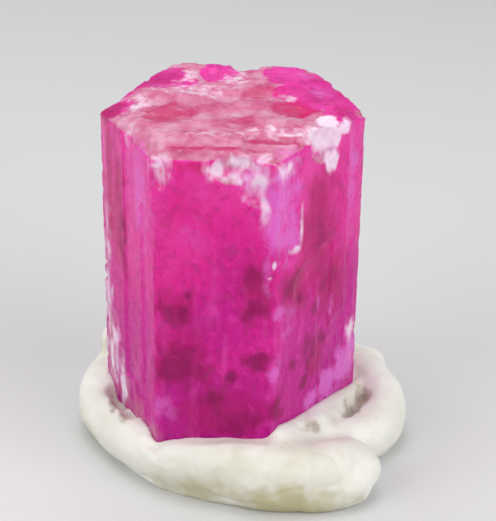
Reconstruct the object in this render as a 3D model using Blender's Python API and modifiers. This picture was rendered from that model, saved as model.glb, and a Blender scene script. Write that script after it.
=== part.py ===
"""A red beryl crystal standing in a roll of white mounting putty.

The crystal is a stout hexagonal prism with a flat, stepped end and chipped edges.
The putty is one roll, coiled round the crystal's foot and squashed onto a flat base.
Azimuths are degrees from the front (-Y) towards the right (+X). The rows of the tables
below are in millimetres and degrees, and MM turns them into metres where they are used.
"""

from math import atan2, cos, degrees, radians, sin, sqrt

import bmesh
import bpy
from mathutils import Matrix, Vector, noise

MM = 0.001
UP = Vector((0.0, 0.0, 1.0))

# Crystal
CRYSTAL_TURN = -4.8                       # azimuth of the front prism face
CRYSTAL_AXIS = Vector((-0.78, 0.17, 0.0)) * MM
CRYSTAL_TOP = 13.9 * MM
CRYSTAL_FOOT = 0.9 * MM
# Distance of each prism face from the axis, from the front face round by the right
FACE_DISTANCES = (4.46, 4.00, 4.66, 4.45, 4.42, 4.27)
# A second plane beside some prism faces: face, degrees it is turned, its distance from the axis
TWIN_PLANES = ((5, -7.0, 4.46), (1, 9.0, 4.30), (2, -5.0, 4.84), (3, 5.0, 4.62), (4, -6.0, 4.68))
# Planes that bevel the end: face, degrees turned, rise of the normal, height taken off the face's middle
BEVELS = (
    (0, 0.0, 34.0, 0.50), (1, 0.0, 40.0, 0.42), (2, -14.0, 80.0, 0.26), (3, 0.0, 50.0, 0.14),
    (4, 25.0, 80.0, 0.20), (5, 0.0, 52.0, 0.50),
)
# Facets that cut the end's corners: corner after this face, rise of the normal, height taken off the edge
CORNER_TURN = 30.0                        # degrees from a face's normal round to a corner
CORNER_FACETS = ((0, 40.0, 0.52), (1, 60.0, 0.62), (2, 50.0, 0.34), (4, 70.0, 0.70), (5, 42.0, 0.54))

STRIP_DEPTH = 0.07                        # depth of the growth steps on the prism faces
# Growth steps: face, left and right side from the face's middle, lower and upper end
STRIPS = (
    (5, -0.15, 0.95, 3.4, 15.0), (5, 1.50, 3.00, 0.0, 11.4), (1, 0.10, 0.95, 0.0, 9.2),
    (1, 1.95, 4.00, 4.6, 15.0), (0, -0.75, -0.05, 0.0, 5.4), (0, -3.00, -1.75, 0.0, 9.8),
    (2, -1.20, 0.10, 3.5, 15.0), (2, 0.90, 1.50, 0.0, 8.0), (3, -4.00, -1.30, 5.0, 15.0),
    (3, 0.30, 0.80, 2.6, 15.0), (3, 1.60, 4.00, 0.0, 7.2), (4, -1.70, -0.70, 0.0, 9.0),
    (4, 0.20, 1.40, 4.4, 15.0),
)
# Ledges along the end's rim: middle, half length, half width, turn, depth
LEDGES = (
    (0.95, -4.10, 1.35, 1.45, -3.0, 0.16), (-0.35, 4.75, 0.50, 0.75, 9.0, 0.26),
    (-5.20, -0.90, 1.10, 2.40, -31.0, 0.12),
)
# Six-sided hollows etched into the end: middle, half length, half width, turn, depth
HOLLOWS = (
    (-3.00, -1.10, 1.25, 0.75, 12.0, 0.12), (1.35, -0.45, 0.95, 0.60, -20.0, 0.15),
    (-0.10, 1.05, 1.50, 0.70, 8.0, 0.10), (-1.60, 3.20, 0.62, 0.95, 4.0, 0.18),
    (-0.45, -1.70, 0.80, 0.45, 25.0, 0.10),
)
# Chips in the prism faces: face, along from its middle, height, half width, half height, depth
FACE_CHIPS = (
    (0, 0.60, 13.15, 1.15, 0.62, 0.30), (0, 1.35, 12.45, 0.62, 0.80, 0.24),
    (0, -2.10, 12.75, 0.42, 0.62, 0.20), (0, 1.45, 7.90, 0.60, 1.20, 0.12),
    (0, -1.20, 6.60, 0.55, 0.65, 0.09), (1, -2.10, 11.00, 0.85, 1.75, 0.20),
    (1, 0.15, 13.30, 0.95, 0.85, 0.46), (1, -0.50, 8.10, 1.20, 0.90, 0.12),
    (1, 1.60, 4.70, 1.10, 1.30, 0.16), (3, 0.90, 10.20, 0.90, 1.10, 0.14),
    (3, -0.35, 13.75, 0.50, 0.45, 0.30), (4, 0.90, 6.30, 0.80, 0.60, 0.12),
    (5, 1.20, 3.10, 0.55, 0.80, 0.12),
)
# Chips on the long edges: corner after this face, height, half width, half height, depth
EDGE_CHIPS = (
    (0, 11.40, 0.30, 1.05, 0.20), (0, 9.05, 0.34, 0.40, 0.18), (0, 8.20, 0.24, 0.26, 0.12),
    (0, 4.30, 0.40, 0.70, 0.15), (1, 4.25, 0.30, 0.28, 0.22), (1, 9.60, 0.22, 0.80, 0.12),
    (2, 7.90, 0.40, 0.95, 0.20), (3, 11.30, 0.30, 0.75, 0.16), (4, 7.30, 0.25, 0.95, 0.12),
    (5, 5.20, 0.22, 0.60, 0.10),
)

HOLLOW_FLOOR = 0.6                        # radius of a hollow below the end, with its length as 1
HOLLOW_FLARE = 1.4                        # and as far above it
CHIP_BULGE = 3.0                          # a chip's egg is this many times fatter than the chip is deep
FACET_TURN = 37.0                         # degrees between the facets of one chip and the next

# Putty
GAP = 0.3                                 # clearance between the crystal and the putty
PAD_MIDDLE = Vector((-0.35, -0.10, 0.0))
PAD_RADIUS = 5.15
PAD_HEIGHT = 0.6
PAD_SIDES = 48
ROLL_STRETCH = 1.12                       # the roll is this much taller than it is wide
# Along the roll: azimuth, distance of its middle from the centre, half width, height of its top
ROLL = (
    (50.0, 5.45, 1.00, 1.90), (41.0, 5.62, 1.15, 2.20), (28.0, 5.50, 1.25, 2.40),
    (12.0, 5.15, 1.28, 2.55), (-4.0, 4.90, 1.22, 2.60), (-20.0, 4.78, 1.10, 2.55),
    (-38.0, 4.98, 1.02, 2.45), (-55.0, 5.02, 1.00, 2.25), (-73.0, 5.42, 1.00, 2.10),
    (-92.0, 6.00, 1.00, 2.20), (-110.0, 6.08, 0.98, 2.40), (-135.0, 5.55, 1.05, 2.35),
    (-165.0, 5.20, 1.05, 2.20), (-190.0, 5.10, 1.05, 2.20), (-215.0, 5.05, 1.10, 2.35),
    (-242.0, 5.18, 1.12, 2.40), (-264.0, 5.38, 1.08, 2.25), (-280.0, 5.30, 1.02, 2.05),
    (-295.0, 4.92, 0.92, 1.85), (-310.0, 4.20, 0.70, 1.95),
)
# The roll's inner end, pressed against the right face
TAIL = (
    (84.0, 4.55, 0.35, 1.90), (62.0, 3.80, 0.45, 2.20), (44.0, 3.80, 0.48, 2.50),
    (26.0, 4.15, 0.45, 2.60), (12.0, 4.60, 0.40, 2.55),
)
# Lumps and smears of putty: middle, half sizes
LUMPS = (
    (-5.80, 2.60, 2.35, 0.32, 0.70, 0.92), (4.85, 3.10, 1.30, 0.90, 0.80, 0.75),
    (4.15, -4.20, 1.00, 0.95, 0.95, 0.95), (-3.90, 4.50, 1.60, 0.90, 0.70, 0.80),
)
# Finger and pinch marks: middle, radius, how deep
DENTS = (
    (2.75, -2.90, 2.00, 0.60, 0.30), (4.25, -0.40, 1.90, 0.65, 0.70), (5.60, -3.05, 1.20, 0.70, 0.35),
    (-5.50, -0.55, 2.00, 0.45, 0.20), (-1.20, -6.00, 0.90, 1.60, 0.10), (-6.95, 2.10, 1.60, 0.90, 0.15),
    (0.60, 6.00, 1.50, 1.30, 0.30), (4.90, 4.50, 1.80, 0.80, 0.25),
)
FUSING_GRID = 0.22                        # size of the grid that fuses roll, tail, pad and lumps
SOFTENING_ROUNDS = 3
UNDULATION = 0.08                         # height of the waves left by kneading
WAVES = ((0.55, 1.0), (1.30, 0.5))        # waves per millimetre and share of the height
PUTTY_TRIANGLES = 6400

BLOCK = 1.5 * CRYSTAL_TOP                 # side of the block that the crystal's planes are cut from
SAME_POINT = 0.0001 * MM                  # points nearer than this are one


def outward(azimuth, rise=0.0):
    """Direction away from the middle at an azimuth, tipped up by rise degrees."""
    a = radians(azimuth)
    level = Vector((sin(a), -cos(a), 0.0))
    return level * cos(radians(rise)) + UP * sin(radians(rise))


def spin_about_z(degrees_round):
    """Rotation about the upright axis."""
    return Matrix.Rotation(radians(degrees_round), 3, "Z")


def face_normal(face, turn=0.0, rise=0.0):
    """Normal of a prism face, or of a plane turned and tipped from it."""
    return outward(CRYSTAL_TURN + 60.0 * face + turn, rise)


def corner(face):
    """Where a prism face meets the next one, measured from the axis."""
    first = face_normal(face)
    second = face_normal(face + 1)
    near = FACE_DISTANCES[face % 6]
    far = FACE_DISTANCES[(face + 1) % 6]
    twist = first.x * second.y - first.y * second.x
    x = (near * second.y - far * first.y) / twist
    y = (far * first.x - near * second.x) / twist
    return Vector((x, y, 0.0)) * MM


def new_collection(name):
    """Makes a collection in the scene."""
    made = bpy.data.collections.new(name)
    bpy.context.scene.collection.children.link(made)
    return made


def add_object(name, bm, collection):
    """Turns a bmesh into an object of the collection."""
    mesh = bpy.data.meshes.new(name)
    bm.to_mesh(mesh)
    bm.free()
    made = bpy.data.objects.new(name, mesh)
    collection.objects.link(made)
    return made


def add_cutter(name, bm, collection):
    """An object that only cuts: drawn as wire and never rendered."""
    cutter = add_object(name, bm, collection)
    cutter.display_type = "WIRE"
    cutter.hide_render = True
    return cutter


def slice_off(bm, normal, point):
    """Takes off what lies past a plane and closes the cut with one flat face."""
    everything = bm.verts[:] + bm.edges[:] + bm.faces[:]
    cut = bmesh.ops.bisect_plane(
        bm, geom=everything, dist=SAME_POINT, plane_co=point, plane_no=normal, clear_outer=True)
    rim = [item for item in cut["geom_cut"] if isinstance(item, bmesh.types.BMEdge)]
    if rim:
        bmesh.ops.holes_fill(bm, edges=rim)


def crystal_body():
    """The prism: a block sliced by every plane that bounds the crystal."""
    bm = bmesh.new()
    bmesh.ops.create_cube(bm, size=BLOCK, matrix=Matrix.Translation(CRYSTAL_AXIS + UP * CRYSTAL_TOP / 2))
    slice_off(bm, UP, UP * CRYSTAL_TOP)
    slice_off(bm, -UP, UP * CRYSTAL_FOOT)
    for face, distance in enumerate(FACE_DISTANCES):
        slice_off(bm, face_normal(face), CRYSTAL_AXIS + face_normal(face) * distance * MM)
    for face, turn, distance in TWIN_PLANES:
        normal = face_normal(face, turn)
        slice_off(bm, normal, CRYSTAL_AXIS + normal * distance * MM)
    for face, turn, rise, height in BEVELS:
        rim = face_normal(face) * FACE_DISTANCES[face] * MM
        slice_off(bm, face_normal(face, turn, rise), CRYSTAL_AXIS + rim + UP * (CRYSTAL_TOP - height * MM))
    for face, rise, height in CORNER_FACETS:
        low = CRYSTAL_AXIS + corner(face) + UP * (CRYSTAL_TOP - height * MM)
        slice_off(bm, face_normal(face, CORNER_TURN, rise), low)
    return bm


def add_strips(cutters):
    """Long shallow steps up the prism faces, where growth layers stopped."""
    for index, (face, left, right, low, high) in enumerate(STRIPS):
        azimuth = CRYSTAL_TURN + 60.0 * face
        size = Vector((right - left, 2.0 * STRIP_DEPTH, high - low)) * MM
        middle = Vector(((left + right) / 2, 0.0, (low + high) / 2))
        place = CRYSTAL_AXIS + (outward(azimuth) * FACE_DISTANCES[face] + spin_about_z(azimuth) @ middle) * MM
        bm = bmesh.new()
        bmesh.ops.create_cube(bm, size=1.0, matrix=Matrix.LocRotScale(place, spin_about_z(azimuth), size))
        add_cutter(f"growth_step_{index + 1}", bm, cutters)


def add_ledges(cutters):
    """Straight ledges along the end's rim and shallow six-sided hollows inside it."""
    for index, (x, y, length, width, turn, depth) in enumerate(LEDGES):
        size = Vector((2 * length, 2 * width, 2 * depth)) * MM
        place = Vector((x, y, 0.0)) * MM + UP * CRYSTAL_TOP
        bm = bmesh.new()
        bmesh.ops.create_cube(bm, size=1.0, matrix=Matrix.LocRotScale(place, spin_about_z(turn), size))
        add_cutter(f"end_ledge_{index + 1}", bm, cutters)
    for index, (x, y, length, width, turn, depth) in enumerate(HOLLOWS):
        size = Vector((length, width, 2 * depth)) * MM
        place = Vector((x, y, 0.0)) * MM + UP * CRYSTAL_TOP
        bm = bmesh.new()
        bmesh.ops.create_cone(
            bm, cap_ends=True, segments=6, radius1=HOLLOW_FLOOR, radius2=HOLLOW_FLARE, depth=1.0,
            matrix=Matrix.LocRotScale(place, spin_about_z(turn), size))
        add_cutter(f"end_hollow_{index + 1}", bm, cutters)


def add_chip(name, place, azimuth, half_width, half_height, depth, roll, cutters):
    """A shell-shaped chip: a low-faceted egg dips depth deep past a point of the surface."""
    bulge = CHIP_BULGE * depth
    widen = 1.0 / sqrt(1.0 - (1.0 - depth / bulge) ** 2)
    size = Vector((half_width * widen, bulge, half_height * widen)) * MM
    middle = place + outward(azimuth) * (bulge - depth) * MM
    bm = bmesh.new()
    bmesh.ops.create_icosphere(bm, subdivisions=2, radius=1.0)
    turned = Matrix.LocRotScale(middle, spin_about_z(azimuth), size) @ Matrix.Rotation(radians(roll), 4, "Y")
    bmesh.ops.transform(bm, matrix=turned, verts=bm.verts)
    add_cutter(name, bm, cutters)


def add_chips(cutters):
    """The chips in the faces and on the edges, no two with their facets turned alike."""
    for index, (face, along, height, *sizes) in enumerate(FACE_CHIPS):
        azimuth = CRYSTAL_TURN + 60.0 * face
        place = outward(azimuth) * FACE_DISTANCES[face] + spin_about_z(azimuth) @ Vector((along, 0.0, height))
        place = CRYSTAL_AXIS + place * MM
        add_chip(f"face_chip_{index + 1}", place, azimuth, *sizes, FACET_TURN * index, cutters)
    for index, (face, height, *sizes) in enumerate(EDGE_CHIPS):
        place = CRYSTAL_AXIS + corner(face) + UP * height * MM
        azimuth = degrees(atan2(corner(face).x, -corner(face).y))
        add_chip(f"edge_chip_{index + 1}", place, azimuth, *sizes, FACET_TURN * index, cutters)


def subtract(body, cutters):
    """Cuts everything in a collection out of the body."""
    cut = body.modifiers.new("cut", "BOOLEAN")
    cut.operation = "DIFFERENCE"
    cut.operand_type = "COLLECTION"
    cut.collection = cutters
    cut.solver = "EXACT"
    return cut


def make_crystal(parts):
    """The beryl crystal."""
    crystal = add_object("beryl_crystal", crystal_body(), parts)
    cutters = new_collection("beryl_cutters")
    add_strips(cutters)
    add_ledges(cutters)
    add_chips(cutters)
    subtract(crystal, cutters)
    crystal.data.materials.append(material("red_beryl", (0.56, 0.03, 0.24), 0.25))
    return crystal


def roll_curve(name, stations, parts):
    """A tube along the stations, thick and thin as they say, with its top at their heights."""
    data = bpy.data.curves.new(name, "CURVE")
    data.dimensions = "3D"
    data.bevel_depth = 1.0
    data.bevel_resolution = 4
    data.use_fill_caps = True
    data.resolution_u = 6
    spline = data.splines.new("NURBS")
    spline.points.add(len(stations) - 1)
    spline.order_u = 3
    spline.use_endpoint_u = True
    for point, (azimuth, distance, half_width, top) in zip(spline.points, stations):
        centre = outward(azimuth) * distance + UP * (top / ROLL_STRETCH - half_width)
        point.co = (*(centre * MM), 1.0)
        point.radius = half_width * MM
    tube = bpy.data.objects.new(name, data)
    tube.scale.z = ROLL_STRETCH
    parts.objects.link(tube)
    return tube


def take_mesh(source):
    """The evaluated mesh of an object in the part's frame, which then replaces the object."""
    bpy.context.view_layer.update()
    graph = bpy.context.evaluated_depsgraph_get()
    mesh = bpy.data.meshes.new_from_object(source.evaluated_get(graph))
    mesh.transform(source.matrix_world)
    bm = bmesh.new()
    bm.from_mesh(mesh)
    bpy.data.objects.remove(source)
    bmesh.ops.remove_doubles(bm, verts=bm.verts, dist=SAME_POINT)
    bmesh.ops.recalc_face_normals(bm, faces=bm.faces)
    mesh.clear_geometry()
    bm.to_mesh(mesh)
    bm.free()
    return mesh


def putty_pieces(parts):
    """Everything that is pressed together: the roll, its tail, the pad under the crystal and the lumps."""
    bm = bmesh.new()
    for name, stations in (("roll", ROLL), ("tail", TAIL)):
        bm.from_mesh(take_mesh(roll_curve(name, stations, parts)))
    bmesh.ops.create_cone(
        bm, cap_ends=True, segments=PAD_SIDES, radius1=PAD_RADIUS * MM, radius2=PAD_RADIUS * MM,
        depth=2 * PAD_HEIGHT * MM, matrix=Matrix.Translation(PAD_MIDDLE * MM))
    for x, y, z, *half in LUMPS:
        ball = bmesh.ops.create_icosphere(bm, subdivisions=3, radius=1.0)
        swell = Matrix.LocRotScale(Vector((x, y, z)) * MM, None, Vector(half) * MM)
        bmesh.ops.transform(bm, matrix=swell, verts=ball["verts"])
    return bm


def press_and_pinch(mesh):
    """Moves the putty's surface: broad undulation, then the finger and pinch marks."""
    bm = bmesh.new()
    bm.from_mesh(mesh)
    bm.normal_update()
    for vertex in bm.verts:
        wave = sum(share * noise.noise(vertex.co / MM * density) for density, share in WAVES)
        vertex.co += vertex.normal * wave * UNDULATION * MM
    for x, y, z, radius, depth in DENTS:
        middle = Vector((x, y, z)) * MM
        for vertex in bm.verts:
            reach = (vertex.co - middle).length / (radius * MM)
            if reach < 1.0:
                vertex.co -= vertex.normal * depth * MM * (1.0 - reach * reach) ** 2
    bm.to_mesh(mesh)
    bm.free()


def flatten_base(mesh):
    """Cuts the putty off flat where it stands."""
    bm = bmesh.new()
    bm.from_mesh(mesh)
    slice_off(bm, -UP, Vector((0.0, 0.0, 0.0)))
    bm.to_mesh(mesh)
    bm.free()


def pocket_cutter():
    """The room that the crystal's foot takes, with clearance all round."""
    bm = bmesh.new()
    bmesh.ops.create_cube(bm, size=BLOCK, matrix=Matrix.Translation(CRYSTAL_AXIS + UP * CRYSTAL_TOP / 2))
    slice_off(bm, -UP, UP * (CRYSTAL_FOOT - GAP * MM))
    for face, distance in enumerate(FACE_DISTANCES):
        slice_off(bm, face_normal(face), CRYSTAL_AXIS + face_normal(face) * (distance + GAP) * MM)
    return bm


def make_putty(parts):
    """The mounting putty."""
    blobs = add_object("blobs", putty_pieces(parts), parts)
    fuse = blobs.modifiers.new("fuse", "REMESH")
    fuse.mode = "VOXEL"
    fuse.voxel_size = FUSING_GRID * MM
    soften = blobs.modifiers.new("soften", "SMOOTH")
    soften.factor = 0.5
    soften.iterations = SOFTENING_ROUNDS
    fused = take_mesh(blobs)
    press_and_pinch(fused)
    pressed = bpy.data.objects.new("pressed", fused)
    parts.objects.link(pressed)
    thin = pressed.modifiers.new("thin", "DECIMATE")
    thin.ratio = PUTTY_TRIANGLES / sum(len(face.vertices) - 2 for face in fused.polygons)
    mesh = take_mesh(pressed)
    flatten_base(mesh)
    mesh.materials.clear()
    mesh.materials.append(material("white_putty", (0.82, 0.81, 0.74), 0.65))
    putty = bpy.data.objects.new("mounting_putty", mesh)
    parts.objects.link(putty)
    cutters = new_collection("putty_cutters")
    add_cutter("crystal_pocket", pocket_cutter(), cutters)
    subtract(putty, cutters)
    return putty


def centre_on_base(putty):
    """Hangs everything from an empty, placed so that the origin is the middle of the putty's base."""
    corners = [putty.matrix_world @ Vector(point) for point in putty.bound_box]
    middle = sum(corners, Vector()) / len(corners)
    stand = bpy.data.objects.new("stand", None)
    for other in bpy.data.objects:
        if other != stand:
            other.parent = stand
    stand.location = (-middle.x, -middle.y, 0.0)
    bpy.context.scene.collection.objects.link(stand)


def material(name, colour, roughness):
    """A plain Principled material."""
    made = bpy.data.materials.new(name)
    made.use_nodes = True
    shader = made.node_tree.nodes["Principled BSDF"]
    shader.inputs["Base Color"].default_value = (*colour, 1.0)
    shader.inputs["Roughness"].default_value = roughness
    shader.inputs["Metallic"].default_value = 0.0
    return made


def main():
    for old in list(bpy.data.objects):
        bpy.data.objects.remove(old)
    parts = new_collection("red_beryl_on_putty")
    make_crystal(parts)
    centre_on_base(make_putty(parts))


main()
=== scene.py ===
"""A red beryl crystal that stands in a roll of white mounting putty."""

from math import cos, radians, sin, sqrt

import bmesh
import bpy
from mathutils import Matrix, Vector, noise


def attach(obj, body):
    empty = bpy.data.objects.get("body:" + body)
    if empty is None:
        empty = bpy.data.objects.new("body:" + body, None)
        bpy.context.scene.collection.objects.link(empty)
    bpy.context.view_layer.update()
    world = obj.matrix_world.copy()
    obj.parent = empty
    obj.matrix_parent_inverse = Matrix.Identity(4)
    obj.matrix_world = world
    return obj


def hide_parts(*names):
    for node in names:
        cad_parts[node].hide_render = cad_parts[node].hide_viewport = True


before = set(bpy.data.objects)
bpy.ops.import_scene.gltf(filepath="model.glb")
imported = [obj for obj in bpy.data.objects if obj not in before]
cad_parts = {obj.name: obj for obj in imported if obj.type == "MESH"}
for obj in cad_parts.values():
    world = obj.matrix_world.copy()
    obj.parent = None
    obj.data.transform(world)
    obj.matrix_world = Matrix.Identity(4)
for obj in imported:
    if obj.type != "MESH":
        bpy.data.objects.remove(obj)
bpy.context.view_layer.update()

# The crystal. Red beryl, grown as one six-sided prism: striped growth layers up its sides,
# an end that is etched matt in flat steps, and pale shell-shaped breaks along its edges.
# It stands in the putty, and nothing else holds it.
MM = 0.001
TURN = -4.8                               # azimuth of the front prism face, degrees from -Y towards +X
AXIS = Vector((-0.532, 0.280, 0.0))       # where the prism's axis stands, mm
FACES = (4.46, 4.00, 4.66, 4.45, 4.42, 4.27)    # distance of each prism face from the axis, mm
TOP = 13.9                                # height of the end, mm
SAME_POINT = 0.001                        # points nearer than this are one, mm
CRYSTAL_GRID = 0.085                      # spacing of the fine mesh's points, mm
WEAR_ROUNDS = 2                           # rounds of smoothing that wear the edges


def joined_copy(node):
    """A CAD node's mesh with its loose triangles joined, in millimetres."""
    bm = bmesh.new()
    bm.from_mesh(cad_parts[node].data)
    bmesh.ops.scale(bm, vec=(1 / MM,) * 3, verts=bm.verts)
    bmesh.ops.remove_doubles(bm, verts=bm.verts, dist=SAME_POINT)
    return bm


def soften(bm, points, rounds):
    """Moves each point halfway to the middle of its neighbours, as often as there are rounds."""
    for _ in range(rounds):
        bmesh.ops.smooth_vert(
            bm, verts=points, factor=0.5, use_axis_x=True, use_axis_y=True, use_axis_z=True)
    bm.normal_update()


def fine_mesh(bm, spacing):
    """Rebuilds a closed mesh on an even grid and wears its edges round."""
    mesh = bpy.data.meshes.new("coarse")
    bm.to_mesh(mesh)
    bm.free()
    coarse = bpy.data.objects.new("coarse", mesh)
    bpy.context.scene.collection.objects.link(coarse)
    grid = coarse.modifiers.new("grid", "REMESH")
    grid.mode = "VOXEL"
    grid.voxel_size = spacing
    fine = bmesh.new()
    fine.from_object(coarse, bpy.context.evaluated_depsgraph_get())
    bpy.data.objects.remove(coarse)
    soften(fine, fine.verts, WEAR_ROUNDS)
    return fine


def smooth_step(low, high, value):
    """Goes smoothly from 0 at low to 1 at high."""
    part = min(max((value - low) / (high - low), 0.0), 1.0)
    return part * part * (3.0 - 2.0 * part)


CORE = 0.2                                # a place is full up to here, in half sizes from its middle
BRINK = 1.6                               # and fades to nothing here


def patch(point, places, ragged, size):
    """How deep a point lies in any of the places: 1 in the core, 0 at the brink and beyond.

    The brink wanders in and out by the share ragged, in bays that are as long as size, mm.
    """
    wander = ragged * (noise.noise(point / size) + 0.5 * noise.noise(point / size * 2.7))
    most = 0.0
    for x, y, z, wide, deep, tall, strength in places:
        reach = sqrt(
            ((point.x - x) / wide) ** 2 + ((point.y - y) / deep) ** 2 + ((point.z - z) / tall) ** 2)
        most = max(most, strength * smooth_step(BRINK, CORE, reach + wander))
    return most


def side_normal(face):
    """Direction a prism face looks in."""
    turn = radians(TURN + 60.0 * face)
    return Vector((sin(turn), -cos(turn), 0.0))


def depths(point):
    """How far a point lies below the planes that the crystal grew with, the nearest plane first, mm."""
    out = point - AXIS
    below_faces = [distance - out.dot(side_normal(face)) for face, distance in enumerate(FACES)]
    return sorted(below_faces + [TOP - point.z])


BARE_FROM = (2.2, 2.8)                    # heights between which the crystal comes out of the putty, mm
NICKED_RIM = (12.8, 13.4)                 # heights between which the nicks of the end's rim set in, mm
NICKED_EDGE = (0.50, 0.05)                # distances from an edge between which its nicks set in, mm
NICK = 0.03                               # depth of the nicks in the long edges, mm
RIM_NICK = 0.10                           # in the rim of the end
CORNER_NICK = 0.16                        # and in the lower half of the left edge
NICK_SIZE = 0.45                          # length of a nick, mm


def nicked(point, second):
    """How far an edge is nicked, mm; second is the point's depth below the edge's other plane."""
    worn_rim = RIM_NICK * smooth_step(*NICKED_RIM, point.z)
    rough_corner = CORNER_NICK * smooth_step(9.0, 7.0, point.z) * smooth_step(-4.7, -5.1, point.x)
    loss = max(NICK, worn_rim, rough_corner) * smooth_step(*BARE_FROM, point.z)
    here = smooth_step(0.05, 0.45, noise.noise(point / NICK_SIZE))
    return loss * smooth_step(*NICKED_EDGE, second) * here


def terraces(level, low, high):
    """Turns a slope into flat steps, each of which rises between low and high."""
    return smooth_step(low, high, level % 1.0) + level // 1.0


FACE_SHIFT = 7.0                          # moves the stripes on from one face to the next, mm
LAYERS_DEEP = 5.0                         # growth layers between the middle height and the highest
# Growth marks: waves per millimetre across a face and up it, and the slice of the noise.
STRIPES = (3.1, 0.16, 4.0)
HAIRLINES = (8.0, 0.45, 9.0)
LAYERS = (0.55, 0.22, 2.0)
PITS = (1.9, 1.2, 6.0)
STRIPE_HEIGHT = 0.005                     # mm
HAIRLINE_HEIGHT = 0.001                   # mm
LAYER_HEIGHT = 0.005                      # mm
PIT_DEPTH = 0.014                         # mm


def growth_marks(across, up, waves):
    """A cloudy pattern that is stretched up a prism face, from about -1 to 1."""
    across_waves, up_waves, slice_at = waves
    return noise.noise(Vector((across * across_waves, up * up_waves, slice_at)))


def growth_relief(point, normal):
    """Stripes, steps and pits of the growth layers, which all run up the prism, mm."""
    along = Vector((-normal.y, normal.x, 0.0)).normalized()
    across = point.dot(along) + FACE_SHIFT * round(10.0 * normal.x)
    layer = terraces(LAYERS_DEEP * growth_marks(across, point.z, LAYERS), 0.35, 0.65)
    pit = smooth_step(0.25, 0.55, growth_marks(across, point.z, PITS))
    return (
        STRIPE_HEIGHT * growth_marks(across, point.z, STRIPES)
        + HAIRLINE_HEIGHT * growth_marks(across, point.z, HAIRLINES)
        + LAYER_HEIGHT * layer - PIT_DEPTH * pit)


PLATE = 0.045                             # height of the etched end's plates, mm
DIP = 0.035                               # depth of the dips between them, mm
ETCHING = 0.012                           # depth of the fine pitting over all, mm


def end_relief(point):
    """Etched end: low flat-topped plates with ragged rims, and fine pitting over them, mm."""
    spread = Vector((point.x * 0.62, point.y * 0.95, 3.0))
    level = noise.noise(spread) * 4.0 + 0.5 * noise.noise(spread * 4.1)
    plate = terraces(level, 0.30, 0.60)
    return PLATE * plate - DIP * abs(noise.noise(point * 2.6)) + ETCHING * noise.noise(point * 6.5)


def break_relief(point):
    """Curved ripples over a broken surface, mm."""
    return 0.060 * noise.noise(point * 1.9) + 0.025 * noise.noise(point * 5.0)


SHELL_SIZE = 0.42                         # distance between the crushed corner's hollows, mm
SHELL_DEPTH = 0.16                        # and their depth, mm


def splinters(point):
    """Small shell-shaped hollows of the crushed corner, mm."""
    hollow = 0.75 - noise.voronoi(point / SHELL_SIZE)[0][0]
    return 0.10 * noise.noise(point * 2.1) - SHELL_DEPTH * hollow


# Where the skin is broken white (and, on the chip at the right of the rim, painted highlight),
# lilac from veils and partly from painted highlights, stained dark, grown redder, grown deeper, left
# glassy on the etched end, or frosted on the sides: middle, half sizes and strength, mm.
# The white is broken skin, and on the chip at the right end of the rim it is a painted highlight too.
WHITE = (
    (2.95, -1.45, 13.30, 0.70, 0.85, 0.52, 1.5), (3.00, -1.15, 13.75, 0.46, 0.55, 0.34, 1.5),
    (3.55, -0.75, 13.45, 0.38, 0.48, 0.27, 1.4), (2.50, -2.00, 13.65, 0.60, 0.55, 0.24, 1.3),
    (1.60, -2.45, 13.90, 0.90, 0.16, 0.20, 0.8), (3.15, -1.45, 12.50, 0.34, 0.45, 0.55, 1.2),
    (0.15, -4.05, 13.30, 1.15, 0.60, 0.45, 0.8), (-1.04, -4.00, 13.10, 0.52, 0.50, 0.42, 0.95),
    (0.35, -4.10, 12.60, 0.60, 0.50, 0.80, 0.72), (0.68, -4.20, 11.80, 0.26, 0.40, 0.90, 0.72),
    (-0.15, -4.00, 12.90, 0.70, 0.50, 0.36, 0.8), (1.09, -4.18, 9.57, 0.09, 0.25, 0.20, 1.0),
    (0.94, -4.23, 9.04, 0.13, 0.25, 0.10, 0.9), (1.30, -3.70, 13.10, 0.80, 0.80, 0.50, 0.7),
    (-2.90, -3.90, 13.05, 0.50, 0.50, 0.60, 0.75), (-4.66, -0.96, 2.50, 0.34, 0.45, 0.75, 1.1),
    (-5.30, 0.40, 6.00, 0.45, 0.80, 4.20, 0.55), (-5.00, -0.30, 3.60, 0.55, 0.95, 1.90, 0.64),
    (1.85, -3.25, 9.70, 0.40, 0.40, 0.16, 0.9), (2.06, -3.00, 10.50, 0.10, 0.16, 0.95, 0.7),
    (-2.20, 3.20, 13.85, 0.30, 0.90, 0.40, 0.6), (-4.30, -1.60, 13.45, 0.60, 1.90, 0.50, 0.35),
    (4.15, 0.25, 4.75, 0.30, 0.50, 0.60, 0.9), (2.10, 3.80, 8.00, 0.90, 0.80, 1.50, 0.6),
    (-3.30, 4.60, 4.50, 0.70, 0.60, 2.20, 0.7), (-2.10, 1.80, 13.90, 1.60, 1.00, 0.40, 0.45),
    (-0.50, 3.10, 13.90, 0.60, 1.20, 0.40, 0.55), (1.40, 1.00, 13.90, 0.60, 0.45, 0.40, 0.5),
    (-4.10, 0.60, 13.80, 0.60, 1.20, 0.40, 0.55), (-0.80, -2.60, 13.90, 1.60, 0.40, 0.40, 0.4),
    (1.20, -2.30, 13.90, 1.30, 0.35, 0.40, 0.5),
)
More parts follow.
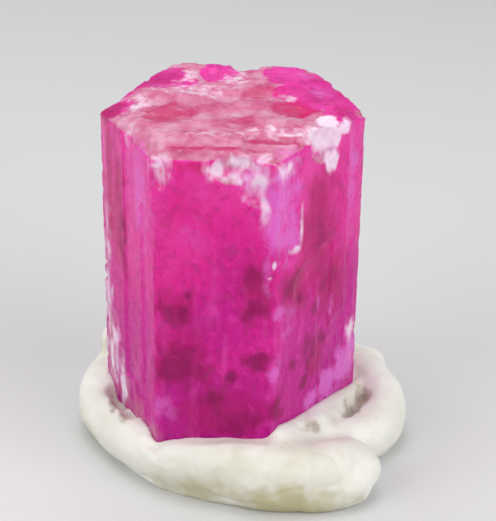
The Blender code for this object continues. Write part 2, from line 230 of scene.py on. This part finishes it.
# The lilac is veils in the crystal, and on the right-hand part of the end and the right face it is painted
# highlight too.
LILAC = (
    (0.35, -4.10, 12.75, 0.80, 0.50, 0.80, 1.0), (0.80, -4.20, 11.40, 0.30, 0.40, 0.80, 0.8),
    (1.30, -3.85, 11.60, 0.85, 1.00, 2.05, 1.2), (1.60, -3.45, 10.30, 0.65, 0.70, 0.80, 1.1),
    (1.19, -4.20, 5.05, 0.36, 0.40, 0.60, 1.0), (-3.04, -3.91, 3.40, 0.60, 0.35, 0.65, 0.7),
    (-1.90, -4.08, 10.64, 0.50, 0.50, 1.10, 0.5), (4.25, 0.20, 3.55, 0.50, 0.60, 1.05, 1.6),
    (3.85, -0.40, 3.20, 0.50, 0.60, 0.90, 1.7), (3.30, -1.20, 2.95, 0.50, 0.60, 0.75, 1.5),
    (2.70, -2.10, 2.80, 0.45, 0.60, 0.50, 1.3), (1.60, -3.60, 6.60, 0.65, 0.70, 1.10, 0.6),
    (3.95, -0.10, 11.50, 0.42, 0.55, 2.60, 0.8), (-3.70, -2.90, 11.30, 0.50, 0.80, 2.40, 0.8),
    (0.85, -4.20, 9.20, 0.22, 0.40, 0.90, 0.9), (4.10, 1.40, 7.00, 0.50, 0.90, 3.60, 0.7),
    (-1.50, 4.80, 9.00, 1.20, 0.60, 2.60, 0.7), (-4.90, 2.20, 10.00, 0.60, 0.90, 2.60, 0.7),
    (2.75, 1.95, 13.80, 0.40, 0.75, 0.50, 0.8), (2.20, 3.60, 13.85, 0.35, 0.50, 0.50, 0.7),
    (-3.90, -2.45, 12.30, 0.45, 0.60, 1.20, 0.7), (1.28, -4.12, 7.55, 0.30, 0.40, 0.40, 0.9),
    (3.33, -1.18, 6.40, 0.14, 0.22, 0.60, 0.8), (2.85, -1.85, 6.85, 0.08, 0.14, 0.40, 0.9),
)
DARK = (
    (-2.20, -4.05, 7.47, 0.36, 0.50, 0.40, 1.2), (-2.55, -4.04, 7.50, 0.70, 0.50, 0.60, 0.8),
    (-2.05, -4.07, 8.17, 0.20, 0.30, 0.20, 0.9), (-2.40, -4.04, 5.30, 0.95, 0.60, 0.95, 0.9),
    (-2.10, -4.06, 5.90, 0.50, 0.40, 0.35, 0.8), (-1.00, -4.09, 3.98, 0.50, 0.40, 0.50, 0.9),
    (-0.38, -4.21, 5.00, 0.22, 0.30, 0.28, 0.8), (0.50, -4.18, 7.80, 0.45, 0.45, 0.55, 0.9),
    (0.40, -4.27, 9.20, 0.40, 0.45, 0.60, 0.7), (0.56, -4.29, 5.66, 0.60, 0.45, 0.45, 0.9),
    (1.30, -4.09, 3.50, 0.50, 0.55, 0.50, 0.9), (2.70, -2.00, 9.90, 0.50, 0.70, 0.80, 0.6),
    (1.67, -3.56, 8.35, 0.80, 0.80, 0.50, 0.8), (3.10, -1.30, 7.60, 0.50, 0.70, 0.70, 0.6),
    (-4.55, -1.30, 9.20, 0.30, 0.40, 2.20, 0.7), (-5.02, 0.55, 13.40, 0.60, 0.65, 0.35, 0.5),
    (0.00, -4.26, 3.00, 1.30, 0.50, 0.60, 0.7), (2.60, -2.50, 5.20, 0.55, 0.90, 0.80, 0.7),
    (1.50, 4.70, 6.50, 1.10, 0.70, 1.60, 0.8), (-2.00, 4.90, 5.00, 0.90, 0.60, 1.10, 0.8),
    (-4.40, 3.00, 6.00, 0.60, 0.80, 1.50, 0.8), (3.60, 2.30, 9.50, 0.60, 0.90, 1.40, 0.7),
    (2.03, -2.97, 7.62, 0.26, 0.32, 0.24, 1.0), (2.66, -2.13, 6.80, 0.22, 0.30, 0.34, 1.0),
    (2.92, -1.64, 5.21, 0.32, 0.42, 0.34, 0.9), (1.83, -3.33, 5.04, 0.20, 0.30, 0.26, 0.9),
    (2.46, -2.42, 4.60, 0.20, 0.28, 0.36, 0.9), (2.29, -2.67, 3.79, 0.22, 0.30, 0.30, 1.0),
)
RED = (
    (-2.93, -0.66, 13.80, 1.15, 1.05, 0.50, 1.0), (1.67, -0.10, 13.80, 0.85, 0.70, 0.50, 1.5),
    (-0.04, -1.30, 13.80, 0.90, 0.70, 0.50, 0.8), (0.58, 1.65, 13.85, 1.05, 0.75, 0.50, 0.8),
    (-2.00, -3.72, 13.87, 1.00, 0.14, 0.14, 1.3), (-0.70, -3.84, 13.88, 0.80, 0.13, 0.14, 1.3),
    (1.05, -2.90, 13.75, 1.00, 0.26, 0.30, 1.2), (-1.96, -4.07, 13.20, 0.85, 0.50, 0.35, 0.55),
    (-2.07, -4.07, 11.40, 1.20, 0.70, 1.90, 0.4),
)
DEEP = (
    (-3.30, 3.10, 13.80, 1.30, 1.10, 0.60, 0.75), (2.90, 1.90, 13.80, 1.30, 1.60, 0.60, 0.45),
    (2.70, -2.00, 9.60, 1.20, 1.50, 2.60, 1.0), (2.00, -3.10, 8.20, 1.30, 1.10, 1.30, 0.9),
    (3.20, -1.20, 7.20, 1.00, 1.40, 1.80, 0.9), (0.50, -4.20, 8.60, 0.80, 0.50, 1.40, 0.8),
    (-2.20, -4.05, 5.60, 1.30, 0.50, 1.60, 0.8), (-0.80, -4.10, 3.40, 2.20, 0.50, 1.20, 0.8),
    (-4.70, -0.90, 10.50, 0.50, 0.80, 3.40, 0.9), (-2.40, -4.00, 7.60, 0.90, 0.50, 0.90, 0.8),
    (3.80, 2.60, 8.60, 0.80, 1.30, 2.60, 0.9), (0.50, 4.80, 6.80, 2.00, 0.70, 2.00, 0.9),
    (-4.00, 3.50, 5.20, 0.90, 1.10, 2.00, 0.9), (-2.40, 4.70, 10.50, 1.20, 0.70, 1.60, 0.7),
    (-5.05, -0.10, 11.00, 0.35, 0.55, 3.20, 1.0), (3.65, -0.05, 13.75, 0.50, 0.80, 0.50, 0.8),
    (2.60, 0.90, 13.80, 0.30, 0.50, 0.50, 0.6), (-5.02, 0.55, 13.40, 0.70, 0.80, 0.50, 1.3),
    (2.80, -2.00, 4.40, 0.60, 0.80, 0.70, 0.9),
)
GLASSY = (
    (2.90, 1.90, 13.80, 1.55, 2.30, 1.00, 1.5), (1.60, 3.60, 13.80, 0.80, 1.40, 1.00, 1.4),
    (2.19, -2.81, 13.12, 0.45, 0.50, 0.40, 1.6), (-3.30, 3.00, 13.80, 1.30, 1.10, 1.00, 1.5),
    (-4.95, 0.65, 13.50, 0.80, 0.80, 0.60, 1.3), (3.70, -0.20, 13.60, 0.70, 0.70, 0.60, 1.3),
    (-1.05, 3.75, 13.70, 0.75, 0.95, 0.60, 1.5),
)
FROSTED = (
    (-4.60, -1.20, 2.60, 0.60, 0.80, 1.10, 0.75), (-4.00, -2.40, 2.30, 0.70, 0.80, 0.80, 0.70),
    (-3.30, -3.60, 2.10, 0.60, 0.60, 0.55, 0.60), (-5.20, 0.20, 4.20, 0.50, 0.80, 2.20, 0.80),
)
CHIPPED = (0.09, 0.16)                    # depths below the grown planes between which the skin is broken, mm
MATT_RIM = (12.9, 13.4)                   # heights between which the breaks turn matt, mm
SPLINTERED = (0.7, 1.2)                   # strengths of white between which the break is splintered
SPLINTER_FILL = 0.4                       # share of a chip's depth that the splinters fill again
FILL_DEPTH = 0.7                          # a chip deeper than this is filled no further, mm
ETCHED_RIM = 0.8                          # how far the breaks along the rim are etched, with the end as 1
GLASSY_RELIEF = 0.3                       # relief of the end where it is glassy, with the rest as 1
SKIN = 0.02                               # the skin lies this far in, so that its relief stays inside, mm
VEILED_BREAK = 0.4                        # how lilac a break is
VEILED_NICK = 3.0                         # how lilac a nick is for each millimetre of its depth
UNBROKEN = 0.4                            # taken off the white outside its places, so none tears through
CRYSTAL_PAINT = ("white", "lilac", "dark", "red", "deep", "etched")    # what each vertex's numbers tell

crystal = fine_mesh(joined_copy("beryl_crystal"), CRYSTAL_GRID)
crystal_numbers = []
for vertex in crystal.verts:
    point = vertex.co.copy()
    normal = vertex.normal.copy()
    nearest, second = depths(point)[:2]
    nick = nicked(point, second)
    broken = smooth_step(*CHIPPED, nearest) * smooth_step(*BARE_FROM, point.z)    # 1 inside a chip
    rim = broken * smooth_step(*MATT_RIM, point.z)       # 1 inside a chip of the end's rim
    upward = smooth_step(0.30, 0.55, normal.z)           # 1 on the end, 0 on the sides
    glassy = smooth_step(0.25, 0.65, patch(point, GLASSY, ragged=0.50, size=0.80))
    etched = max(upward, ETCHED_RIM * rim) * (1.0 - glassy)
    white = patch(point, WHITE, ragged=0.35, size=0.55)
    dark = patch(point, DARK, ragged=0.55, size=0.45)
    lilac = patch(point, LILAC, ragged=0.40, size=0.60)
    veiled = VEILED_BREAK * (broken - rim) * (1.0 - dark)
    crystal_numbers.append((
        white - UNBROKEN * smooth_step(0.2, 0.0, white),
        max(lilac, veiled, VEILED_NICK * nick),
        dark,
        patch(point, RED, ragged=0.45, size=0.70),
        patch(point, DEEP, ragged=0.35, size=1.10),
        max(etched, patch(point, FROSTED, ragged=0.50, size=0.60))))
    on_side = abs(normal.z) < 0.5
    relief = growth_relief(point, normal) if on_side else 0.0
    relief += max(etched, GLASSY_RELIEF * upward) * end_relief(point) + broken * break_relief(point)
    crushed = splinters(point) + SPLINTER_FILL * min(nearest, FILL_DEPTH)
    relief += smooth_step(*SPLINTERED, white) * crushed - nick
    vertex.co += normal * (relief - SKIN)


def new_piece(name, bm):
    """Makes the mesh an object of its own, in metres and shaded smooth."""
    bmesh.ops.scale(bm, vec=(MM,) * 3, verts=bm.verts)
    mesh = bpy.data.meshes.new(name)
    bm.to_mesh(mesh)
    bm.free()
    mesh.polygons.foreach_set("use_smooth", [True] * len(mesh.polygons))
    piece = bpy.data.objects.new(name, mesh)
    bpy.context.scene.collection.objects.link(piece)
    return piece


def paint(piece, names, numbers):
    """Stores each vertex's numbers under their names, for the material to read."""
    for name, values in zip(names, zip(*numbers)):
        layer = piece.data.attributes.new(name, "FLOAT", "POINT")
        layer.data.foreach_set("value", values)


beryl = new_piece("crystal", crystal)
paint(beryl, CRYSTAL_PAINT, crystal_numbers)
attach(beryl, "root")
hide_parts("beryl_crystal")


def linear(colour):
    """The linear RGBA of an sRGB hex colour."""
    parts = [int(colour[place:place + 2], 16) / 255 for place in (1, 3, 5)]
    return (*[part / 12.92 if part <= 0.04045 else ((part + 0.055) / 1.055) ** 2.4 for part in parts], 1.0)


def add(tree, kind, inputs=None, stops=(), **settings):
    """Adds a node; each input takes a value, a hex colour, an output, or a node for its first output."""
    node = tree.nodes.new(kind)
    for name, value in settings.items():
        setattr(node, name, value)
    for key, value in (inputs or {}).items():
        socket = node.inputs[key] if isinstance(key, int) else next(
            each for each in node.inputs if each.enabled and each.name == key)
        if isinstance(value, bpy.types.Node):
            value = next(each for each in value.outputs if each.enabled)
        if isinstance(value, bpy.types.NodeSocket):
            tree.links.new(value, socket)
        else:
            socket.default_value = linear(value) if isinstance(value, str) else value
    while len(stops) > 2 and len(node.color_ramp.elements) < len(stops):
        node.color_ramp.elements.new(1.0)
    for place, (position, colour) in enumerate(stops):
        node.color_ramp.elements[place].position = position
        node.color_ramp.elements[place].color = linear(colour)
    return node


def mottling(tree, patterns, stains, shares):
    """The cloudy patterns of a material, its painted stains with torn edges, and the shares of its colours.

    A stain shows nothing where paint and tear together are below low, and most above high.
    A share goes from least at low to most at high of its pattern.
    """
    layers = {}
    place = add(tree, "ShaderNodeTexCoord").outputs["Object"]
    for name, size, stretch, detail, swirl in patterns:
        scale = tuple(1 / MM / size / part for part in stretch)
        stretched = add(tree, "ShaderNodeMapping", {"Vector": place, "Scale": scale})
        layers[name] = add(
            tree, "ShaderNodeTexNoise",
            {"Vector": stretched, "Scale": 1.0, "Detail": detail, "Distortion": swirl})
    for name, pattern, depth, low, high, most in stains:
        painted = add(tree, "ShaderNodeAttribute", attribute_name=name).outputs["Fac"]
        torn = add(
            tree, "ShaderNodeMath", {0: layers[pattern], 1: depth, 2: -0.5 * depth}, operation="MULTIPLY_ADD")
        stained = add(tree, "ShaderNodeMath", {0: painted, 1: torn}, operation="ADD")
        layers[name] = add(
            tree, "ShaderNodeMapRange",
            {"Value": stained, "From Min": low, "From Max": high, "To Min": 0.0, "To Max": most},
            interpolation_type="SMOOTHSTEP")
    for name, pattern, low, high, least, most in shares:
        layers[name] = add(
            tree, "ShaderNodeMapRange",
            {"Value": layers[pattern], "From Min": low, "From Max": high, "To Min": least, "To Max": most},
            interpolation_type="SMOOTHSTEP")
    return layers


# Red beryl with natural faces: glassy but never clear, so light goes in, is taken up on its
# way and comes back from clouds of tiny flaws. Manganese makes it raspberry pink.
red_beryl = bpy.data.materials.new("red_beryl")
red_beryl.use_nodes = True
tree = red_beryl.node_tree
shader = tree.nodes["Principled BSDF"]
mottled = mottling(
    tree,
    patterns=(                                           # size in mm, stretch, detail and swirl
        ("broad", 2.4, (1.0, 1.0, 1.5), 3.0, 0.6),       # zones of growth
        ("wisps", 1.1, (0.7, 0.7, 2.4), 5.0, 1.2),       # veils of tiny bubbles
        ("flaws", 0.50, (1.0, 1.0, 1.3), 5.0, 0.6),      # healed cracks
        ("grain", 0.26, (1.0, 1.0, 1.2), 4.0, 0.4),      # specks just under the skin
        ("streaks", 0.55, (0.6, 0.6, 7.0), 4.0, 0.3),    # tubes along the prism
        ("ridges", 0.10, (1.0, 1.0, 14.0), 3.0, 0.0),    # finest growth stripes, drawn coarser to show
        ("crust", 0.85, (1.0, 1.0, 1.0), 6.0, 0.3),      # etched plates of the end
        ("shatter", 0.45, (0.8, 0.8, 1.4), 6.0, 0.4)),   # splinters in the breaks
    stains=(                                             # pattern that tears it, how deep, low, high, most
        ("deep", "flaws", 0.9, 0.05, 1.05, 0.75),
        ("red", "flaws", 1.5, 0.15, 1.15, 0.85),
        ("etched", "grain", 0.3, 0.15, 0.90, 0.92),
        ("lilac", "flaws", 1.9, 0.15, 1.35, 0.75),
        ("dark", "flaws", 1.3, 0.10, 1.05, 0.85),
        ("white", "shatter", 1.7, 0.15, 0.98, 0.92)),
    shares=(                                             # pattern, low, high, least, most
        ("speck", "grain", 0.52, 0.74, 0.0, 0.45),
        ("flaw", "flaws", 0.50, 0.72, 0.0, 0.35),
        ("glint", "grain", 0.48, 0.26, 0.0, 0.40),
        ("wisp", "wisps", 0.54, 0.74, 0.0, 0.45),
        ("streak", "streaks", 0.55, 0.75, 0.0, 0.25),
        ("uneven", "flaws", 0.30, 0.70, -0.05, 0.08)))
place = add(tree, "ShaderNodeSeparateXYZ", {"Vector": add(tree, "ShaderNodeTexCoord").outputs["Object"]})
paler_above = add(                                       # painted light and shade: paler up towards the end, darker towards the foot
    tree, "ShaderNodeMapRange",
    {"Value": place.outputs["Z"], "From Min": 1.5 * MM, "From Max": 13.5 * MM, "To Min": 0.0, "To Max": 0.55},
    interpolation_type="SMOOTHSTEP")
paleness = add(
    tree, "ShaderNodeMath", {0: mottled["broad"], 1: 0.7, 2: paler_above}, operation="MULTIPLY_ADD")
body = add(
    tree, "ShaderNodeValToRGB", {"Fac": paleness},
    ((0.25, "#ca0c9a"), (0.50, "#d8109c"), (0.75, "#f022a0"), (1.00, "#fe48b4")))
skin = add(
    tree, "ShaderNodeValToRGB", {"Fac": mottled["crust"]},
    ((0.30, "#b84c74"), (0.45, "#c67490"), (0.58, "#ce8ea6"), (0.74, "#d4aebc")))
for name, colour in (("speck", "#b04472"), ("glint", "#dca8bc"), ("red", "#b82c62")):
    skin = add(tree, "ShaderNodeMix", {"Factor": mottled[name], "A": skin, "B": colour}, data_type="RGBA")
# The white and lilac laid on here are partly painted highlight.
for name, colour in (
        ("flaw", "#a4045c"), ("speck", "#a00468"), ("glint", "#fc50c4"), ("wisp", "#fb58cc"),
        ("streak", "#fb6cc4"), ("deep", "#be086a"), ("red", "#dc1668"), ("etched", skin),
        ("lilac", "#fb84ec"), ("dark", "#98005c"), ("white", "#f0dcee")):
    body = add(tree, "ShaderNodeMix", {"Factor": mottled[name], "A": body, "B": colour}, data_type="RGBA")
mostly_etched = add(tree, "ShaderNodeMath", {0: mottled["etched"], 1: 0.85}, operation="MULTIPLY")
matt = add(tree, "ShaderNodeMath", {0: mottled["white"], 1: mostly_etched}, operation="MAXIMUM")
finish = {}
for name, glassy, dull in (("roughness", 0.28, 0.54), ("clearness", 0.30, 0.06), ("relief", 0.07, 1.0)):
    finish[name] = add(
        tree, "ShaderNodeMapRange",
        {"Value": matt, "From Min": 0.0, "From Max": 1.0, "To Min": glassy, "To Max": dull},
        interpolation_type="SMOOTHSTEP")
ridge_or_crust = add(
    tree, "ShaderNodeMix", {"Factor": matt, "A": mottled["ridges"], "B": mottled["grain"]}, data_type="FLOAT")
relief = add(
    tree, "ShaderNodeBump", {"Strength": finish["relief"], "Distance": 0.02 * MM, "Height": ridge_or_crust})
roughness = add(tree, "ShaderNodeMath", {0: finish["roughness"], 1: mottled["uneven"]}, operation="ADD")
for name, source in (
        ("Base Color", body.outputs[2]), ("Roughness", roughness.outputs[0]),
        ("Transmission Weight", finish["clearness"].outputs[0]), ("Normal", relief.outputs[0])):
    tree.links.new(source, shader.inputs[name])
# Fine pitting takes most of the mirror off the skin. Red light goes furthest into the crystal.
for name, value in (
        ("IOR", 1.57), ("Specular IOR Level", 0.06), ("Subsurface Weight", 0.35),
        ("Subsurface Radius", (1.0, 0.25, 0.65)), ("Subsurface Scale", 1.0 * MM)):
    shader.inputs[name].default_value = value
absorb = add(tree, "ShaderNodeVolumeAbsorption", {"Color": "#fd00dd", "Density": 220.0})
tree.links.new(absorb.outputs["Volume"], tree.nodes["Material Output"].inputs["Volume"])
beryl.data.materials.append(red_beryl)

# The putty. White mounting putty, a soft rubbery chalk paste: rolled between the fingers,
# coiled once round the crystal's foot, pinched against it and pressed flat onto the table.
PUTTY_GRID = 0.10                         # spacing of the fine mesh's points, mm
FOOT = 0.9                                # height of the crystal's foot, mm
CLEARANCE = 0.3                           # room that the solid leaves round the crystal, mm
BITE = 0.12                               # how far the putty is pressed past the crystal's skin, mm
TOUCH = 0.01                              # a point as near as this to the pocket's wall is on it, mm

# Where dirt and painted shade sit in the folds and in the crevices beside the crystal, and where the
# putty is painted creamier and shaded low down and beneath: middle, half sizes and strength, mm.
DIRT_AND_SHADE_PLACES = (
    (-5.00, -1.15, 2.10, 0.22, 0.80, 0.35, 1.0), (-4.55, -2.30, 2.20, 0.22, 0.60, 0.30, 0.8),
    (4.30, -1.20, 1.95, 0.32, 0.45, 0.60, 1.2), (4.75, -0.20, 1.85, 0.30, 0.65, 0.60, 1.0),
    (2.90, -3.20, 2.30, 0.70, 0.22, 0.30, 0.8), (3.55, -2.45, 2.10, 0.30, 0.30, 0.30, 0.5),
    (-0.60, -4.45, 2.40, 1.60, 0.10, 0.12, 0.35),
)
# Yellowish grey: creamier staining, and painted shade low down and under the roll.
YELLOWED_AND_SHADED_PLACES = (
    (1.40, -6.10, 0.40, 3.00, 1.50, 1.25, 1.0), (-2.20, -5.60, 0.40, 2.60, 1.50, 1.10, 0.80),
    (0.60, -5.80, 1.20, 4.20, 1.60, 1.70, 0.48), (-5.60, 2.60, 2.40, 0.50, 0.60, 0.40, 0.8),
    (5.60, 1.00, 0.80, 0.80, 2.20, 0.60, 0.5), (0.50, 5.80, 0.70, 3.20, 0.80, 0.60, 0.6),
    (-6.00, -0.50, 0.70, 0.70, 2.20, 0.55, 0.5),
)


def close_pocket(bm):
    """Presses the pocket's walls and floor against the crystal."""
    for vertex in bm.verts:
        out = vertex.co - AXIS
        beyond = [out.dot(side_normal(face)) - distance for face, distance in enumerate(FACES)]
        if max(beyond) >= CLEARANCE + TOUCH:
            continue
        move = Vector()
        for face, gap in enumerate(beyond):
            if gap > CLEARANCE - TOUCH:
                move -= side_normal(face) * (CLEARANCE + BITE)
        if abs(vertex.co.z - (FOOT - CLEARANCE)) < TOUCH:
            move.z += CLEARANCE + BITE
        vertex.co += move


# Folds between the turns of the roll: start and end in plan, half width and depth, mm.
GROOVES = (
    (2.20, -3.55, 2.85, -3.25, 0.11, 0.22), (2.85, -3.25, 4.10, -1.60, 0.16, 0.08),
    (4.05, -1.65, 4.45, -0.70, 0.20, 0.50), (-4.98, -0.40, -4.68, -1.25, 0.26, 0.42),
    (-4.68, -1.25, -4.20, -2.30, 0.24, 0.34), (-3.10, -4.05, 0.75, -4.35, 0.40, 0.17),
)


def groove(point):
    """How deep the folds are at a point, mm."""
    deepest = 0.0
    for x1, y1, x2, y2, half_width, depth in GROOVES:
        start = Vector((x1, y1))
        run = Vector((x2, y2)) - start
        along = min(max((point.xy - start).dot(run) / run.length_squared, 0.0), 1.0)
        away = (point.xy - start - run * along).length + 0.05 * noise.noise(point / 0.3)
        deepest = max(deepest, depth * smooth_step(1.8 * half_width, 0.3 * half_width, away))
    return deepest


def sinking(vertex):
    """How far a vertex sinks into a fold, on the roll's upper side and next to the crystal, mm."""
    upper = smooth_step(0.1, 0.6, vertex.normal.z)
    beside = smooth_step(-0.25, -0.10, depths(vertex.co)[0])
    return groove(vertex.co) * smooth_step(1.2, 1.5, vertex.co.z) * max(upper, beside)


DIMPLE = 0.035                            # depth of the soft dimples, mm
CREASE = 0.045                            # of the drag marks
CHALK = 0.010                             # and of the chalk's grain


def kneading(point):
    """Soft dimples, drag marks and fine grain of kneaded putty, mm."""
    dimple = noise.noise(point / 1.1)
    bend = abs(noise.noise(Vector((point.x, point.y, point.z * 2.0)) / 1.7))
    creased = smooth_step(0.0, 0.4, noise.noise(point / 2.3))
    crease = CREASE * smooth_step(0.10, 0.0, bend) * creased
    return DIMPLE * dimple - crease + CHALK * noise.noise(point / 0.25)


def dab(bm, x, y, z, radius):
    """Adds a ball of putty, which the fine mesh melts into the roll."""
    bmesh.ops.create_icosphere(bm, subdivisions=3, radius=radius, matrix=Matrix.Translation((x, y, z)))


# The roll's outer end, as balls of putty: middle and radius, mm.
END = (
    (2.60, -5.20, 0.62, 0.80), (3.20, -5.08, 0.66, 0.85), (3.70, -4.90, 0.72, 0.88),
    (4.08, -4.70, 0.78, 0.90),
)
# Crest of the ridge that hugs the right face, from the front backwards, mm.
RIDGE = (
    (1.22, -4.14, 2.80), (1.50, -3.80, 2.74), (1.93, -3.18, 2.59), (2.77, -1.98, 2.44),
    (3.59, -0.79, 2.30), (4.43, 0.67, 1.95),
)
RIDGE_RADIUS = 0.42                       # half the width of the ridge, mm
RIDGE_AWAY = 0.12                         # how far its crest stands off the face, mm
RIDGE_DABS = 6                            # balls of putty from one point of the crest to the next
# Where a finger smoothed the putty: middle, radius and lowest height, mm.
SMOOTHED = ((2.9, -2.6, 2.3, 2.9, 1.0), (3.5, -4.9, 0.8, 1.7, -1.0))
SMOOTHED_ROUNDS = 14                      # rounds of smoothing there
FOLD_ROUNDS = 6                           # and in the folds
FOLDED = 0.02                             # a fold deeper than this is smoothed, mm
DIRT_AND_SHADE_DEPTH = 0.18                              # and one deeper than this is painted darker, with dirt and painted shade
FOLD_DIRT_AND_SHADE = 1.6                               # how much dirt and painted shade, for each millimetre deeper
DIRT_AND_SHADE_STRENGTH = 0.7                                # strength of the dirt and painted shade in its places
PUTTY_SKIN = 0.01                         # the skin lies this far in, so that its relief stays inside, mm
PRESSED_FLAT = 0.25                       # the kneading marks fade out from this height to the table, mm
PUTTY_PAINT = ("dirt_and_shade", "yellowed_and_shaded")       # what each vertex's numbers tell

putty = joined_copy("mounting_putty")
close_pocket(putty)
for place in END:
    dab(putty, *place)
for start, end in zip(RIDGE, RIDGE[1:]):
    for step in range(RIDGE_DABS):
        crest = Vector(start).lerp(Vector(end), step / (RIDGE_DABS - 1)) + side_normal(1) * RIDGE_AWAY
        dab(putty, crest.x, crest.y, crest.z - RIDGE_RADIUS, RIDGE_RADIUS)
putty = fine_mesh(putty, PUTTY_GRID)
for vertex in putty.verts:
    out = vertex.co - AXIS
    inside, face = min((distance - out.dot(side_normal(face)), face) for face, distance in enumerate(FACES))
    if inside > BITE and vertex.co.z > FOOT + 0.05:
        vertex.co += side_normal(face) * (inside - BITE)
smoothed = [
    vertex for vertex in putty.verts
    if depths(vertex.co)[0] < -BITE and any(
        vertex.co.z > lowest and (vertex.co - Vector(middle)).length < radius
        for *middle, radius, lowest in SMOOTHED)]
soften(putty, smoothed, SMOOTHED_ROUNDS)
sunk = [sinking(vertex) for vertex in putty.verts]
for vertex, depth in zip(putty.verts, sunk):
    vertex.co.z -= depth
soften(putty, [vertex for vertex, depth in zip(putty.verts, sunk) if depth > FOLDED], FOLD_ROUNDS)
putty_numbers = []
for vertex, depth in zip(putty.verts, sunk):
    point = vertex.co.copy()
    vertex.co += vertex.normal * (kneading(point) - PUTTY_SKIN) * smooth_step(0.0, PRESSED_FLAT, point.z)
    vertex.co.z = max(vertex.co.z, 0.0)
    putty_numbers.append((
        max(DIRT_AND_SHADE_STRENGTH * patch(point, DIRT_AND_SHADE_PLACES, ragged=0.55, size=0.40), FOLD_DIRT_AND_SHADE * max(depth - DIRT_AND_SHADE_DEPTH, 0.0)),
        patch(point, YELLOWED_AND_SHADED_PLACES, ragged=0.45, size=0.90)))
roll = new_piece("putty", putty)
paint(roll, PUTTY_PAINT, putty_numbers)
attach(roll, "root")
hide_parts("mounting_putty")

# Chalk-filled putty, kneaded and pressed by hand: matt with a faint greasy sheen, yellowish grey low down
# and beneath (creamier stain and painted shade), and grey-brown in its folds (dust and painted shade).
white_putty = bpy.data.materials.new("white_putty")
white_putty.use_nodes = True
tree = white_putty.node_tree
shader = tree.nodes["Principled BSDF"]
mottled = mottling(
    tree,
    patterns=(                                           # size in mm, stretch, detail and swirl
        ("mixing", 1.6, (1.0, 1.0, 1.0), 4.0, 0.0),      # streaks left by kneading
        ("yellowing_mottle", 0.9, (1.0, 1.0, 1.0), 3.0, 0.0),     # tears the creamier stain and painted shade low down
        ("fold_mottle", 0.30, (1.0, 1.0, 1.0), 5.0, 0.0),      # tears the dirt and painted shade in the folds
        ("dust", 0.16, (1.0, 1.0, 1.0), 2.0, 0.0),       # single bits of dust, drawn coarser to show
        ("sheen", 0.50, (1.0, 1.0, 1.0), 3.0, 0.0)),     # greasier and drier spots
    stains=(                                             # pattern that tears it, how deep, low, high, most
        ("yellowed_and_shaded", "yellowing_mottle", 0.35, 0.00, 1.15, 1.00),
        ("dirt_and_shade", "fold_mottle", 0.6, 0.00, 1.00, 1.00)),
    shares=(                                             # pattern, low, high, least, most
        ("speck", "dust", 0.70, 0.76, 0.0, 0.5),
        ("roughness", "sheen", 0.30, 0.70, 0.52, 0.68)))
body = add(
    tree, "ShaderNodeValToRGB", {"Fac": mottled["mixing"]},
    ((0.30, "#dad9cd"), (0.50, "#e2e1d8"), (0.70, "#e8e7e1")))
# The yellowish grey and the grey-brown are partly painted shade, under the roll and in its folds.
for name, colour in (("yellowed_and_shaded", "#b6ae86"), ("dirt_and_shade", "#8c6e54"), ("speck", "#a89c84")):
    body = add(tree, "ShaderNodeMix", {"Factor": mottled[name], "A": body, "B": colour}, data_type="RGBA")
relief = add(tree, "ShaderNodeBump", {"Strength": 0.4, "Distance": 0.02 * MM, "Height": mottled["fold_mottle"]})
for name, source in (
        ("Base Color", body.outputs[2]), ("Roughness", mottled["roughness"].outputs[0]),
        ("Normal", relief.outputs[0])):
    tree.links.new(source, shader.inputs[name])
shader.inputs["IOR"].default_value = 1.5
roll.data.materials.append(white_putty)

# The stage, which is no part of the object: a plain pale floor, a pale sky, and three large
# square lamps for soft shadows. A long lens looks down at the crystal from the front.
FLOOR_HALF = 600.0                        # half the side of the floor, mm
LAMP_SIDE = 0.12                          # side of each lamp, m
LAMP_AIM = Vector((0.0, 0.0, 0.006))      # the point that they shine at, m
LAMPS = (                                 # place in m, power in W
    ("key", (0.10, -0.07, 0.08), 0.14), ("fill", (-0.12, -0.07, 0.08), 0.135),
    ("top", (-0.02, 0.03, 0.14), 0.12),
)

ground = bmesh.new()
bmesh.ops.create_grid(ground, x_segments=1, y_segments=1, size=FLOOR_HALF)
floor = new_piece("floor", ground)
floor_paint = bpy.data.materials.new("floor_paint")
floor_paint.use_nodes = True
shader = floor_paint.node_tree.nodes["Principled BSDF"]
shader.inputs["Base Color"].default_value = linear("#cecece")
shader.inputs["Roughness"].default_value = 0.6
floor.data.materials.append(floor_paint)

studio = bpy.data.worlds.new("studio")
studio.use_nodes = True
sky = studio.node_tree.nodes["Background"]
sky.inputs["Color"].default_value = linear("#e6e8ec")
sky.inputs["Strength"].default_value = 0.35
bpy.context.scene.world = studio

for name, place, power in LAMPS:
    data = bpy.data.lights.new(name, "AREA")
    data.shape = "SQUARE"
    data.size = LAMP_SIDE
    data.energy = power
    lamp = bpy.data.objects.new(name, data)
    lamp.location = place
    lamp.rotation_euler = (LAMP_AIM - Vector(place)).to_track_quat("-Z", "Y").to_euler()
    bpy.context.scene.collection.objects.link(lamp)

TARGET = Vector((0.145, 0.110, 7.573)) * MM    # the point in the middle of the view
DISTANCE = 61.55 * MM                     # from there to the camera
ELEVATION = radians(26.58)
LEAN = radians(0.845)                     # the camera's roll
FOCAL_LENGTH = 1609.6                     # in pixels of the render
RENDER_HEIGHT = 521                       # pixels, which the sensor's longer side covers
SENSOR = 36.0                             # that side, mm

camera_data = bpy.data.cameras.new("camera")
camera_data.lens = FOCAL_LENGTH * SENSOR / RENDER_HEIGHT
camera_data.clip_start = 0.001
camera_data.clip_end = 10.0
camera = bpy.data.objects.new("camera", camera_data)
back = Vector((0.0, -cos(ELEVATION), sin(ELEVATION)))
look = (-back).to_track_quat("-Z", "Y").to_matrix() @ Matrix.Rotation(LEAN, 3, "Z")
camera.matrix_world = Matrix.Translation(TARGET + back * DISTANCE) @ look.to_4x4()
bpy.context.scene.collection.objects.link(camera)
bpy.context.scene.camera = camera
bpy.context.scene.view_settings.view_transform = "Standard"    # keeps the crystal's magenta strong
